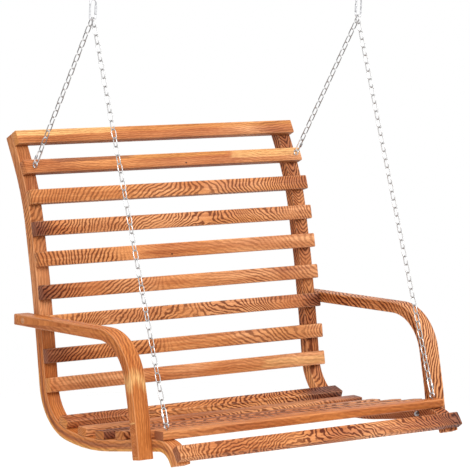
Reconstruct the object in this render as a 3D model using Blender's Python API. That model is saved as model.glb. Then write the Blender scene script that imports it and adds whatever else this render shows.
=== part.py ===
"""Two-seat garden swing bench: bent side frames and armrests, slats, chains and snap hooks.

Metres. X runs across the bench, +Y to the rear and +Z up. The origin lies midway between
the two points the snap hooks hang from; the bench swings about the hooks' lower wires.
"""
import math

import bmesh
import bpy
from mathutils import Matrix, Vector

# Clearances
GAP = 0.0003
CHORD = 0.0002
OVERRUN = 0.004

# Side frames: one bent member each, walked along its front and top face from the back's top
WIDTH_OVER_FRAMES = 1.157
FRAME_WIDTH = 0.0532
FRAME_DEPTH = 0.0368
FRAME_TOP_Y = 0.4575
FRAME_TOP_Z = 0.8723
FRAME_TOP_HEADING = math.radians(63.1)
TOP_RUN = 0.1012
SHOULDER_RADIUS = 0.757
SHOULDER_TURN = math.radians(14.9)
LUMBAR_RADIUS = 4.635
LUMBAR_TURN = math.radians(5.0)
BACK_RUN = 0.1445
CORNER_RADIUS = 0.149
CORNER_TURN = math.radians(-72.9)
SEAT_RADIUS = 0.738
SEAT_TURN = math.radians(-17.6)
SEAT_RUN = 0.281
NOSE_RADIUS = 0.097
NOSE_TURN = math.radians(78.8)
FRAME_EDGE = 0.0045
END_EASE = 0.0025

# Slats: their stations are distances along the frames' face, set out from its bends
BACK_SLAT_WIDTH = 0.0480
SEAT_SLAT_WIDTH = 0.0470
SLAT_THICKNESS = 0.0276
SLAT_EDGE = 0.0032
TOP_TO_SLAT = 0.0240
SLAT_TO_CORNER = 0.0007
BACK_SHARES = (0.0, 0.128, 0.250, 0.376, 0.498, 0.630, 0.751, 0.883, 1.0)
SLAT_TO_SEAT = 0.0247
RUN_TO_SLAT = 0.0080
SEAT_SHARES = (0.0, 0.210, 0.398, 0.606, 0.807, 1.0)
NOSE_TO_SLAT = 0.1039
REST_SAMPLES = 24
HALVINGS = 40

# Armrests: one bent member each, walked along its top face from the stub behind the post
POST_STATION = 0.6284
ARM_WIDTH = 0.0572
ARM_DEPTH = 0.0361
ARM_STUB = 0.0521
ARM_RUN = 0.485
ARM_BEND_RADIUS = 0.181
ARM_BEND_TURN = math.radians(76.7)
LEG_RADIUS = 2.40
LEG_TAIL = 0.0403
ARM_EDGE = 0.0060

# Armrest bolts, sunk from outside and plugged
BOLT_RADIUS = 0.0040
BOLT_HEAD_RADIUS = 0.0075
BOLT_HEAD = 0.0053
BOLT_TAIL = 0.003
BOLT_SIDES = 8
PLUG_RADIUS = 0.0100
PLUG_DEPTH = 0.009
PLUG_SIDES = 12
NUT_FLANGE_RADIUS = 0.0095
NUT_FLANGE = 0.0016
NUT_RADIUS = 0.0075
NUT_HEIGHT = 0.0080
NUT_SIDES = 6

# Eye bolts: a rod bent round into an eye
EYE_INSET = 0.0041
EYE_WIRE = 0.0056
EYE_RADIUS = 0.0105
EYE_SWEEP = math.radians(324.0)
EYE_STEPS = 11
EYE_TAIL = 0.004
EYE_NUT_RADIUS = 0.0058
EYE_NUT_HEIGHT = 0.0062
EYE_NUT_FLANGE_RADIUS = 0.0080
EYE_NUT_FLANGE = 0.0012
WIRE_SIDES = 6

# Quick links with their threaded sleeves
QUICK_WIRE = 0.0050
QUICK_LENGTH = 0.0575
QUICK_WIDTH = 0.0200
QUICK_OPENING = 0.009
SLEEVE_LENGTH = 0.0150
SLEEVE_RADIUS = 0.0046

# Chains of long links
LINK_WIRE = 0.0035
LINK_WIDTH = 0.0200
LINK_PITCH = 0.0281
LINK_SIDE_SHARE = 0.886
BOW_SHARE = 0.44
SHOULDER_SHARE = 0.62
LINK_BITE = 0.0002
FRONT_LINKS = 45
REAR_LINKS = 19
END_LINK_SHIFT = 0.0023

# Snap hooks
HOOK_WIRE = 0.0060
HOOK_SIDES = 8
HOOK_HEIGHT = 0.0700
HOOK_WIDTH = 0.0280
HOOK_CORNER = 0.0060
HOOK_BOW_STEPS = 8
HOOK_CORNER_STEPS = 3
TONGUE_SHARE = 0.40
TONGUE_LENGTH = 0.0054
TONGUE_TURNS = (0.5, 1.0)
TAPER = 0.0020
PIVOT_RISE = 0.0170
NOSE_RISE = 0.0445
NOSE_TAPER = 0.0005
NOSE_TIP = 0.0035
TIP_SHARE = 0.35
GATE_DEPTH = 0.0064
GATE_THICKNESS = 0.0072
GATE_EDGE = 0.0010
GATE_LENGTH = 0.0265
GATE_ROUND_SHARES = ((-1.0, 0.45), (-0.80, 0.75), (-0.40, 0.95))
SLOT_RISE = 0.0034
NOTCH_DEPTH = 0.0040
GATE_WEB = 0.0019
PIN_RADIUS = 0.0012
PIN_SIDES = 8
SPRING_RADIUS = 0.0012
SPRING_LENGTH = 0.0080
SPRING_SHIFT = 0.0007

# The tilt that brings the bench's weight under the hooks
HANG_TILT = math.radians(-3.62)

# Finishes: colour, metal share, roughness
AMBER = (0.52, 0.20, 0.06)
RUSSET = (0.40, 0.12, 0.05)
UMBER = (0.16, 0.06, 0.03)
HONEY = (0.72, 0.38, 0.14)
ZINC = (0.62, 0.63, 0.64)
STEEL = (0.50, 0.50, 0.50)
BACK_TONES = (HONEY, AMBER, RUSSET, AMBER, RUSSET, AMBER, RUSSET, AMBER, RUSSET)
SEAT_TONES = (UMBER, AMBER, RUSSET, AMBER, RUSSET, AMBER)
METAL_ROUGHNESS_SHARE = 0.35
WOOD_ROUGHNESS_SHARE = 0.38

FRAME_START = (FRAME_TOP_Y, FRAME_TOP_Z, FRAME_TOP_HEADING)


def run(length):
    """A straight leg of a route: its length and turn."""
    return length, 0.0


def bend(radius, turn):
    """A curved leg of a route: its length and turn."""
    return radius * abs(turn), turn


FRAME_LEGS = (run(TOP_RUN), bend(SHOULDER_RADIUS, SHOULDER_TURN),
              bend(LUMBAR_RADIUS, LUMBAR_TURN), run(BACK_RUN),
              bend(CORNER_RADIUS, CORNER_TURN), bend(SEAT_RADIUS, SEAT_TURN),
              run(SEAT_RUN), bend(NOSE_RADIUS, NOSE_TURN))
BACK_LEG_COUNT = 4
CORNER_LEG_COUNT = 5
RUN_LEG_COUNT = 7


def route_length(legs):
    """Whole length of a route."""
    return sum(length for length, turn in legs)


def spot(start, legs, distance):
    """Place and heading at a distance along a route; headings run below the horizontal."""
    y, z, heading = start
    for length, turn in legs:
        step = min(distance, length)
        if turn:
            radius = length / turn
            after = heading + step / radius
            y -= radius * (math.sin(after) - math.sin(heading))
            z -= radius * (math.cos(heading) - math.cos(after))
            heading = after
        else:
            y -= step * math.cos(heading)
            z -= step * math.sin(heading)
        distance -= step
    return y, z, heading


def outward(heading):
    """Direction out of a member's face, square to its heading."""
    return Vector((0.0, -math.sin(heading), math.cos(heading)))


def forward(heading):
    """Direction along a member at a heading."""
    return Vector((0.0, -math.cos(heading), -math.sin(heading)))


def route_steps(legs):
    """Distances of the loft stations: ends of runs, and bends split by the chord limit."""
    marks = [0.0]
    for length, turn in legs:
        count = 1
        if turn:
            widest = 2 * math.acos(1 - CHORD * abs(turn) / length)
            count = math.ceil(abs(turn) / widest)
        start = marks[-1]
        marks.extend(start + length * (k + 1) / count for k in range(count))
    return marks


def slat_seat(station, width):
    """Middle of a slat's underside, and its heading, where it rests on the frames."""
    y1, z1, _ = spot(FRAME_START, FRAME_LEGS, station - width / 2)
    y2, z2, _ = spot(FRAME_START, FRAME_LEGS, station + width / 2)
    heading = math.atan2(z1 - z2, y1 - y2)
    y, z, _ = spot(FRAME_START, FRAME_LEGS, station)
    middle = Vector((0.0, y, z))
    rise = 0.0
    for k in range(REST_SAMPLES + 1):
        y, z, _ = spot(FRAME_START, FRAME_LEGS, station + width * (k / REST_SAMPLES - 0.5))
        touch = Vector((0.0, y, z)) - middle
        past_flat = abs(touch.dot(forward(heading))) - (width / 2 - SLAT_EDGE)
        rise = max(rise, touch.dot(outward(heading)) - max(past_flat, 0.0))
    return middle + outward(heading) * (rise + GAP + CHORD), heading


def span(first, last, shares):
    """Stations spread between two ends by shares."""
    return [first + (last - first) * share for share in shares]


BACK_END = route_length(FRAME_LEGS[:BACK_LEG_COUNT])
CORNER_END = route_length(FRAME_LEGS[:CORNER_LEG_COUNT])
RUN_END = route_length(FRAME_LEGS[:RUN_LEG_COUNT])
FRONT_STATION = RUN_END + NOSE_TO_SLAT
BACK_STATIONS = span(TOP_TO_SLAT, BACK_END - SLAT_TO_CORNER, BACK_SHARES)
SEAT_STATIONS = span(CORNER_END - SLAT_TO_SEAT, RUN_END + RUN_TO_SLAT, SEAT_SHARES)
SLAT_STATIONS = ([(station, BACK_SLAT_WIDTH) for station in BACK_STATIONS]
                 + [(station, SEAT_SLAT_WIDTH) for station in SEAT_STATIONS]
                 + [(FRONT_STATION, SEAT_SLAT_WIDTH)])
REAR_EYE = SLAT_STATIONS[1]
FRONT_EYE = SLAT_STATIONS[-2]
EYE_RISE = EYE_RADIUS + EYE_WIRE / 2 + GAP
FRAME_X = (WIDTH_OVER_FRAMES - FRAME_WIDTH) / 2
EYE_X = FRAME_X - EYE_INSET
ARM_X = (WIDTH_OVER_FRAMES + ARM_WIDTH) / 2 + GAP


def centre_line(start, legs, distance, depth):
    """A point on a member's centre line."""
    y, z, heading = spot(start, legs, distance)
    return Vector((0.0, y, z)) - outward(heading) * (depth / 2)


def halve(low, high, above):
    """The distance at which a test stops holding, by halving."""
    for _ in range(HALVINGS):
        middle = (low + high) / 2
        if above(middle):
            low = middle
        else:
            high = middle
    return low


def arm_start():
    """Where an armrest's top face begins, with its centre line on the post's at the bolt."""
    post = centre_line(FRAME_START, FRAME_LEGS, POST_STATION, FRAME_DEPTH)
    return post.y + ARM_STUB, post.z + ARM_DEPTH / 2, 0.0


def rail_height(y):
    """Height of the seat rail's centre line at a place from rear to front."""
    mark = halve(CORNER_END, RUN_END, lambda distance: centre_line(
        FRAME_START, FRAME_LEGS, distance, FRAME_DEPTH).y > y)
    return centre_line(FRAME_START, FRAME_LEGS, mark, FRAME_DEPTH).z


def arm_legs(leg):
    """An armrest's route with a leg of a given length."""
    return (run(ARM_RUN), bend(ARM_BEND_RADIUS, ARM_BEND_TURN),
            bend(LEG_RADIUS, leg / LEG_RADIUS))


def leg_to_rail():
    """Length of leg from the arm's bend to the rail's centre line."""
    def above(leg):
        legs = arm_legs(leg)
        point = centre_line(ARM_START, legs, route_length(legs), ARM_DEPTH)
        return point.z > rail_height(point.y)
    return halve(ARM_DEPTH, ARM_RUN, above)


ARM_START = arm_start()
LEG_LENGTH = leg_to_rail()
ARM_LEGS = arm_legs(LEG_LENGTH + LEG_TAIL)
LEG_STATION = route_length(ARM_LEGS) - LEG_TAIL


def eye_centre(station, width):
    """Middle of an eye above the slat it clamps."""
    seat, heading = slat_seat(station, width)
    return seat + outward(heading) * (SLAT_THICKNESS + EYE_RISE)


def chain_reach(count):
    """Distance from an eye's middle to the hook wire it hangs from."""
    quick = EYE_RADIUS - EYE_WIRE / 2 + QUICK_LENGTH - 2 * QUICK_WIRE
    return quick + count * LINK_PITCH - LINK_BITE - HOOK_WIRE / 2 - 3 * GAP


def hanging_point(front, rear):
    """Where the taut front and rear chains meet: the upper crossing of two circles."""
    base = rear - front
    width = base.length
    long_reach = chain_reach(FRONT_LINKS)
    short_reach = chain_reach(REAR_LINKS)
    along = (long_reach ** 2 - short_reach ** 2 + width ** 2) / (2 * width)
    rise = math.sqrt(long_reach ** 2 - along ** 2)
    unit = base / width
    return front + unit * along + Vector((0.0, -unit.z, unit.y)) * rise


HANG = hanging_point(eye_centre(*FRONT_EYE), eye_centre(*REAR_EYE))


def from_hang(point, x=0.0):
    """A bench point measured from the swing axis."""
    return Vector((x, point.y - HANG.y, point.z - HANG.z))


def placement(origin, x_axis, y_axis, z_axis):
    """Matrix that carries local axes to the given ones at an origin."""
    turn = Matrix((x_axis, y_axis, z_axis)).transposed()
    return Matrix.Translation(origin) @ turn.to_4x4()


def cut_rectangle(width, height, edge):
    """Rectangle about the origin with its corners cut."""
    w = width / 2
    h = height / 2
    return [(w, edge - h), (w, h - edge), (w - edge, h), (edge - w, h),
            (-w, h - edge), (-w, edge - h), (edge - w, -h), (w - edge, -h)]


def polygon(radius, sides, start=0.0):
    """Regular outline about the origin."""
    angles = [start + 2 * math.pi * k / sides for k in range(sides)]
    return [(radius * math.cos(a), radius * math.sin(a)) for a in angles]


def arc(centre, radius, begin, finish, steps):
    """Points of an arc, both ends included."""
    angles = [begin + (finish - begin) * k / steps for k in range(steps + 1)]
    return [(centre[0] + radius * math.cos(a), centre[1] + radius * math.sin(a))
            for a in angles]


def oval(wide, tall):
    """Half sizes of a link's wire line to its eight corners, from the upper right round."""
    bow = wide * BOW_SHARE
    shoulder = tall - wide * SHOULDER_SHARE
    return [(wide, shoulder), (bow, tall), (-bow, tall), (-wide, shoulder),
            (-wide, -shoulder), (-bow, -tall), (bow, -tall), (wide, -shoulder)]


class Solids:
    """Closed bodies gathered for one object."""

    def __init__(self):
        self.points = []
        self.faces = []
        self.round = []

    def add_face(self, corners, smooth):
        """One face, less any corner it repeats."""
        kept = tuple(dict.fromkeys(corners))
        if len(kept) > 2:
            self.faces.append(kept)
            self.round.append(smooth)

    def skin(self, rings, smooth, loop=False, capped=True):
        """Join rings of point numbers; a ring of one point closes like a cone."""
        sides = max(len(ring) for ring in rings)
        pairs = list(zip(rings, rings[1:]))
        if loop:
            pairs.append((rings[-1], rings[0]))
        for low, high in pairs:
            for k in range(sides):
                a = low[k % len(low)]
                b = low[(k + 1) % len(low)]
                c = high[(k + 1) % len(high)]
                d = high[k % len(high)]
                self.add_face((a, b, c, d), smooth)
        if capped and not loop:
            self.add_face(tuple(reversed(rings[0])), False)
            self.add_face(tuple(rings[-1]), False)

    def ring(self, points):
        """Store a ring of points and return their numbers."""
        first = len(self.points)
        self.points.extend(points)
        return list(range(first, len(self.points)))

    def loft(self, outlines, smooth=False):
        """A body through equal outlines, capped at both ends."""
        self.skin([self.ring(points) for points in outlines], smooth)

    def turned(self, profile, sides, place, loop=False):
        """Revolve a profile of (radius, height) about a placement's Z."""
        rings = []
        for radius, height in profile:
            count = sides if radius else 1
            points = [place @ Vector((u, v, height)) for u, v in polygon(radius, count)]
            rings.append(self.ring(points))
        self.skin(rings, True, loop, capped=not loop)

    def wire(self, path, outline, place, loop=False, sizes=None):
        """Sweep an outline along a flat path, mitred at each corner."""
        rings = []
        count = len(path)
        for k, (u, v) in enumerate(path):
            here = Vector((u, v))
            arrive = here - Vector(path[k - 1])
            leave = Vector(path[(k + 1) % count]) - here
            if not loop and k == 0:
                arrive = leave
            if not loop and k == count - 1:
                leave = arrive
            arrive.normalize()
            middle = (arrive + leave.normalized()).normalized()
            stretch = 1 / middle.dot(arrive)
            side = Vector((-middle.y, middle.x)) * stretch
            wide, thick = sizes[k] if sizes else (1.0, 1.0)
            points = []
            for a, b in outline:
                flat = here + side * (a * wide)
                points.append(place @ Vector((flat.x, flat.y, b * thick)))
            rings.append(self.ring(points))
        self.skin(rings, True, loop)


def finish(name, tone, metal):
    """A Principled material of one colour."""
    material = bpy.data.materials.new(name + "_finish")
    material.use_nodes = True
    shader = material.node_tree.nodes["Principled BSDF"]
    shader.inputs["Base Color"].default_value = (*tone, 1.0)
    shader.inputs["Metallic"].default_value = metal
    rough = METAL_ROUGHNESS_SHARE if metal else WOOD_ROUGHNESS_SHARE
    shader.inputs["Roughness"].default_value = rough
    return material


def add_object(name, data, parent):
    """Link an object under a parent."""
    item = bpy.data.objects.new(name, data)
    bpy.context.scene.collection.objects.link(item)
    item.parent = parent
    return item


def add_solids(name, solids, tone, metal, parent):
    """A named object from gathered bodies."""
    mesh = bpy.data.meshes.new(name)
    mesh.from_pydata([tuple(point) for point in solids.points], [], solids.faces)
    mesh.polygons.foreach_set("use_smooth", solids.round)
    mesh.materials.append(finish(name, tone, metal))
    shape = bmesh.new()
    shape.from_mesh(mesh)
    bmesh.ops.recalc_face_normals(shape, faces=shape.faces)
    shape.to_mesh(mesh)
    shape.free()
    return add_object(name, mesh, parent)


def add_cutter(name, solids, parent):
    """A hidden tool for Boolean cuts."""
    cutter = add_solids(name, solids, STEEL, 1.0, parent)
    cutter.hide_render = True
    cutter.display_type = "WIRE"
    return cutter


def cut(item, cutter, operation="DIFFERENCE"):
    """Take a cutter out of an object, or join it on."""
    step = item.modifiers.new("cut", "BOOLEAN")
    step.operation = operation
    step.solver = "EXACT"
    step.object = cutter


def member(start, legs, width, depth, edge, x):
    """A bent wooden member lofted along its route."""
    solids = Solids()
    marks = route_steps(legs)
    full = cut_rectangle(width, depth, edge)
    eased = cut_rectangle(width - 2 * END_EASE, depth - 2 * END_EASE, edge)
    places = [(marks[0], eased), (marks[0] + END_EASE, full)]
    places += [(mark, full) for mark in marks[1:-1]]
    places += [(marks[-1] - END_EASE, full), (marks[-1], eased)]
    outlines = []
    for mark, outline in places:
        y, z, heading = spot(start, legs, mark)
        middle = Vector((0.0, y, z)) - outward(heading) * (depth / 2)
        rail = from_hang(middle, x)
        outlines.append([rail + Vector((a, 0.0, 0.0)) + outward(heading) * b
                         for a, b in outline])
    solids.loft(outlines)
    return solids


def slat(station, width):
    """A straight slat lying across both frames."""
    solids = Solids()
    seat, heading = slat_seat(station, width)
    middle = seat + outward(heading) * (SLAT_THICKNESS / 2)
    full = cut_rectangle(width, SLAT_THICKNESS, SLAT_EDGE)
    eased = cut_rectangle(width - 2 * END_EASE, SLAT_THICKNESS - 2 * END_EASE, SLAT_EDGE)
    end = WIDTH_OVER_FRAMES / 2
    outlines = []
    for x, outline in ((-end, eased), (END_EASE - end, full), (end - END_EASE, full),
                       (end, eased)):
        base = from_hang(middle, x)
        outlines.append([base + forward(heading) * a + outward(heading) * b
                         for a, b in outline])
    solids.loft(outlines)
    return solids


def frame_back(station, width):
    """How deep a frame's rear face lies under a slat's seat, across an eye bolt's nut."""
    seat, heading = slat_seat(station, width)
    depth = 0.0
    for k in range(REST_SAMPLES + 1):
        mark = station + width * (k / REST_SAMPLES - 0.5)
        y, z, turned = spot(FRAME_START, FRAME_LEGS, mark)
        back = Vector((0.0, y, z)) - outward(turned) * FRAME_DEPTH - seat
        if abs(back.dot(forward(heading))) < EYE_NUT_FLANGE_RADIUS:
            depth = max(depth, -back.dot(outward(heading)))
    return depth


def behind_frame(station, width, x):
    """Placement on a frame's rear face under a slat, its Z through frame and slat."""
    seat, heading = slat_seat(station, width)
    depth = frame_back(station, width)
    origin = from_hang(seat - outward(heading) * depth, x)
    place = placement(origin, Vector((1.0, 0.0, 0.0)), forward(heading), outward(heading))
    return place, depth


def bore_radius(radius, sides):
    """Radius of a bore's corners that leaves a gap all round a rod."""
    return (radius + GAP) / math.cos(math.pi / sides)


def bore_eyes(solids, side):
    """Bores for the eye bolts, through slat and frame."""
    radius = bore_radius(EYE_WIRE / 2, WIRE_SIDES)
    for station, width in (REAR_EYE, FRONT_EYE):
        place, depth = behind_frame(station, width, side * EYE_X)
        top = depth + SLAT_THICKNESS + OVERRUN
        profile = [(0.0, -OVERRUN), (radius, -OVERRUN), (radius, top), (0.0, top)]
        solids.turned(profile, WIRE_SIDES, place)


def arm_joints(side):
    """Placements of an armrest's two bolts, Z from the arm's outer face inward."""
    places = []
    for mark in (ARM_STUB, LEG_STATION):
        middle = centre_line(ARM_START, ARM_LEGS, mark, ARM_DEPTH)
        origin = from_hang(middle, side * (ARM_X + ARM_WIDTH / 2))
        inward = Vector((-side, 0.0, 0.0))
        upright = Vector((0.0, 0.0, 1.0))
        places.append(placement(origin, upright.cross(inward), upright, inward))
    return places


JOINT_DEPTH = ARM_WIDTH + GAP + FRAME_WIDTH
HEAD_FACE = PLUG_DEPTH + GAP
HEAD_SEAT = HEAD_FACE + BOLT_HEAD
NUT_FACE = JOINT_DEPTH + GAP


def bore_arms(solids, side):
    """Counterbored holes through arm and frame."""
    wide = bore_radius(PLUG_RADIUS, PLUG_SIDES)
    radius = bore_radius(BOLT_RADIUS, BOLT_SIDES)
    floor = HEAD_SEAT + GAP
    profile = [(0.0, -OVERRUN), (wide, -OVERRUN), (wide, floor), (radius, floor),
               (radius, JOINT_DEPTH + OVERRUN), (0.0, JOINT_DEPTH + OVERRUN)]
    for place in arm_joints(side):
        solids.turned(profile, PLUG_SIDES, place)


def arm_bolt(place):
    """A hexagon bolt through arm and frame."""
    solids = Solids()
    tail = NUT_FACE + NUT_HEIGHT + BOLT_TAIL
    profile = [(0.0, HEAD_FACE), (BOLT_HEAD_RADIUS, HEAD_FACE), (BOLT_HEAD_RADIUS, HEAD_SEAT),
               (BOLT_RADIUS, HEAD_SEAT), (BOLT_RADIUS, tail), (0.0, tail)]
    solids.turned(profile, NUT_SIDES, place)
    return solids


def arm_plug(place):
    """A wooden plug over a bolt head."""
    solids = Solids()
    profile = [(0.0, 0.0), (PLUG_RADIUS, 0.0), (PLUG_RADIUS, PLUG_DEPTH), (0.0, PLUG_DEPTH)]
    solids.turned(profile, PLUG_SIDES, place)
    return solids


def collar(inner, outer, low, high):
    """Closed profile of a sleeve."""
    return [(inner, low), (outer, low), (outer, high), (inner, high)]


def flange_nut(rod, radius, height, flange_radius, flange, face, step, place):
    """A flanged nut whose flange lies at a face; step is 1 or -1 along the rod."""
    solids = Solids()
    inner = bore_radius(rod, NUT_SIDES)
    shoulder = face + step * flange
    end = face + step * height
    profile = [(inner, face), (flange_radius, face), (flange_radius, shoulder),
               (radius, shoulder), (radius, end), (inner, end)]
    solids.turned(profile, NUT_SIDES, place, loop=True)
    return solids


def eye_bolt(station, width, side):
    """A rod bent round into an eye, its shank through slat and frame."""
    solids = Solids()
    place, depth = behind_frame(station, width, side * EYE_X)
    middle = depth + SLAT_THICKNESS + EYE_RISE
    tail = EYE_TAIL + EYE_NUT_HEIGHT
    begin = -math.pi / 2
    path = [(0.0, -tail)] + arc((0.0, middle), EYE_RADIUS, begin, begin + EYE_SWEEP, EYE_STEPS)
    upright = placement(place.translation, place.to_3x3().col[1], place.to_3x3().col[2],
                        place.to_3x3().col[0])
    solids.wire(path, polygon(EYE_WIRE / 2, WIRE_SIDES, math.pi / WIRE_SIDES), upright)
    return solids


class Chain:
    """One chain's line from its eye to the hook, with the axes its links stand in."""

    def __init__(self, station, width, side, count, shift):
        self.eye = from_hang(eye_centre(station, width), side * EYE_X)
        hook = Vector((side * (EYE_X + shift), 0.0, 0.0))
        self.up = (hook - self.eye).normalized()
        flat = Vector((side, 0.0, 0.0))
        self.across = (flat - self.up * flat.dot(self.up)).normalized()
        self.square = self.up.cross(self.across)
        self.count = count
        self.quick_low = EYE_RADIUS - (EYE_WIRE + QUICK_WIRE) / 2 - GAP
        self.quick_high = self.quick_low + QUICK_LENGTH - QUICK_WIRE
        self.link_low = self.quick_high - (QUICK_WIRE + LINK_WIRE) / 2 - GAP

    def place(self, height, turned):
        """Placement at a height on the line: X across the link, Y along the chain."""
        wide = self.square if turned else self.across
        return placement(self.eye + self.up * height, wide, self.up, wide.cross(self.up))

    def links(self, first):
        """Every second link, from a first one; neighbours stand turned a quarter."""
        solids = Solids()
        half_side = LINK_WIRE / 2 * LINK_SIDE_SHARE
        wide = LINK_WIDTH / 2 - half_side
        tall = (LINK_PITCH - LINK_BITE) / 2 + half_side
        outline = polygon(half_side * math.sqrt(2), 4, math.pi / 4)
        for k in range(first, self.count, 2):
            centre = self.link_low + LINK_WIRE / 2 - half_side + tall + LINK_PITCH * k
            solids.wire(oval(wide, tall), outline, self.place(centre, k % 2 == 0), loop=True)
        return solids

    def quick_link(self):
        """An oval link, open on one side under its sleeve."""
        solids = Solids()
        wide = (QUICK_WIDTH - QUICK_WIRE) / 2
        opening = QUICK_OPENING / 2
        path = [(wide, opening)] + oval(wide, (QUICK_LENGTH - QUICK_WIRE) / 2)
        path.append((wide, -opening))
        outline = polygon(QUICK_WIRE / 2, WIRE_SIDES, math.pi / WIRE_SIDES)
        middle = (self.quick_low + self.quick_high) / 2
        solids.wire(path, outline, self.place(middle, False))
        return solids

    def sleeve(self):
        """The threaded sleeve over a quick link's opening."""
        solids = Solids()
        wide = (QUICK_WIDTH - QUICK_WIRE) / 2
        middle = (self.quick_low + self.quick_high) / 2
        origin = self.eye + self.up * middle + self.across * wide
        place = placement(origin, self.across, self.square, self.up)
        inner = bore_radius(QUICK_WIRE / 2, WIRE_SIDES)
        half = SLEEVE_LENGTH / 2
        solids.turned(collar(inner, SLEEVE_RADIUS, -half, half), WIRE_SIDES, place, loop=True)
        return solids


HOOK_SIDE = (HOOK_WIDTH - HOOK_WIRE) / 2
HOOK_TOP = HOOK_HEIGHT - HOOK_WIRE
UPRIGHT = placement(Vector(), Vector((1.0, 0.0, 0.0)), Vector((0.0, 0.0, 1.0)),
                    Vector((0.0, -1.0, 0.0)))


def hook_path():
    """Path of the hook's wire with the width and thickness shares at each point."""
    bow = HOOK_TOP - HOOK_SIDE
    corner = HOOK_SIDE - HOOK_CORNER
    neck = PIVOT_RISE - TONGUE_LENGTH
    reach = HOOK_WIRE / 2
    flat = [(HOOK_SIDE, NOSE_RISE - NOSE_TAPER - NOSE_TIP), (HOOK_SIDE, NOSE_RISE - NOSE_TAPER)]
    sizes = [(TIP_SHARE, TONGUE_SHARE), (TIP_SHARE, TONGUE_SHARE)]
    path = flat + [(HOOK_SIDE, NOSE_RISE)]
    path += arc((0.0, bow), HOOK_SIDE, 0.0, math.pi, HOOK_BOW_STEPS)
    path += arc((-corner, HOOK_CORNER), HOOK_CORNER, math.pi, math.pi * 1.5, HOOK_CORNER_STEPS)
    path += arc((corner, HOOK_CORNER), HOOK_CORNER, math.pi * 1.5, math.pi * 2,
                HOOK_CORNER_STEPS)
    path.append((HOOK_SIDE, neck - TAPER))
    sizes += [(1.0, 1.0)] * (len(path) - len(sizes))
    ends = [(neck, 1.0), (PIVOT_RISE, 1.0)]
    ends += [(PIVOT_RISE + reach * math.sin(turn), math.cos(turn)) for turn in TONGUE_TURNS]
    for rise, share in ends:
        path.append((HOOK_SIDE, rise))
        sizes.append((share, TONGUE_SHARE))
    return path, sizes


def pin_profile(radius, reach):
    """Profile of a pin or its bore."""
    return [(0.0, -reach), (radius, -reach), (radius, reach), (0.0, reach)]


def pin_place(x, z):
    """Placement whose Z runs along the gate's pin."""
    return placement(Vector((x, 0.0, z)), Vector((1.0, 0.0, 0.0)), Vector((0.0, 0.0, 1.0)),
                     Vector((0.0, -1.0, 0.0)))


def box_cutter(solids, low, high):
    """A plain box between two corners."""
    corners = [(low[0], low[1]), (high[0], low[1]), (high[0], high[1]), (low[0], high[1])]
    solids.loft([[Vector((x, y, z)) for x, y in corners] for z in (low[2], high[2])])


def gate_bar():
    """The gate before its slots and bores, its pivot at the origin."""
    solids = Solids()
    reach = GATE_DEPTH / 2
    path = [(0.0, reach * rise) for rise, share in GATE_ROUND_SHARES]
    sizes = [(share, 1.0) for rise, share in GATE_ROUND_SHARES]
    path += [(0.0, 0.0), (0.0, GATE_LENGTH - GATE_EDGE), (0.0, GATE_LENGTH)]
    top = 1 - 2 * GATE_EDGE / GATE_DEPTH
    sizes += [(1.0, 1.0), (1.0, 1.0), (top, 1.0)]
    outline = cut_rectangle(GATE_DEPTH, GATE_THICKNESS, GATE_EDGE)
    solids.wire(path, outline, UPRIGHT, sizes=sizes)
    return solids


def gate_cuts():
    """Fork slot, nose notch, pin bore and spring bore of the gate."""
    solids = Solids()
    half = HOOK_WIRE / 2 * TONGUE_SHARE + GAP
    reach = GATE_DEPTH / 2 + OVERRUN
    box_cutter(solids, (-reach, -half, -reach), (reach, half, SLOT_RISE))
    box_cutter(solids, (GATE_WEB - GATE_DEPTH / 2, -half, GATE_LENGTH - NOTCH_DEPTH),
               (reach, half, GATE_LENGTH + OVERRUN))
    return solids


def gate_bores():
    """Pin bore and spring bore of the gate."""
    solids = Solids()
    radius = bore_radius(PIN_RADIUS, PIN_SIDES)
    solids.turned(pin_profile(radius, GATE_THICKNESS), PIN_SIDES, pin_place(0.0, 0.0))
    wide = bore_radius(SPRING_RADIUS, PIN_SIDES)
    top = SLOT_RISE + SPRING_LENGTH + GAP
    place = Matrix.Translation(Vector((SPRING_SHIFT, 0.0, 0.0)))
    profile = [(0.0, SLOT_RISE / 2), (wide, SLOT_RISE / 2), (wide, top), (0.0, top)]
    solids.turned(profile, PIN_SIDES, place)
    return solids


def gate_spring():
    """The outer shape of the coil spring in the gate's bore."""
    solids = Solids()
    top = SLOT_RISE + SPRING_LENGTH
    place = Matrix.Translation(Vector((SPRING_SHIFT, 0.0, 0.0)))
    profile = [(0.0, SLOT_RISE), (SPRING_RADIUS, SLOT_RISE), (SPRING_RADIUS, top), (0.0, top)]
    solids.turned(profile, PIN_SIDES, place)
    return solids


def hook_body():
    """The snap hook's bent wire."""
    solids = Solids()
    path, sizes = hook_path()
    outline = polygon(HOOK_WIRE / 2, HOOK_SIDES)
    solids.wire(path, outline, UPRIGHT, sizes=sizes)
    return solids


def hook_bore():
    """The pin's bore in the hook's tongue."""
    solids = Solids()
    radius = bore_radius(PIN_RADIUS, PIN_SIDES)
    solids.turned(pin_profile(radius, HOOK_WIRE), PIN_SIDES, pin_place(HOOK_SIDE, PIVOT_RISE))
    return solids


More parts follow.
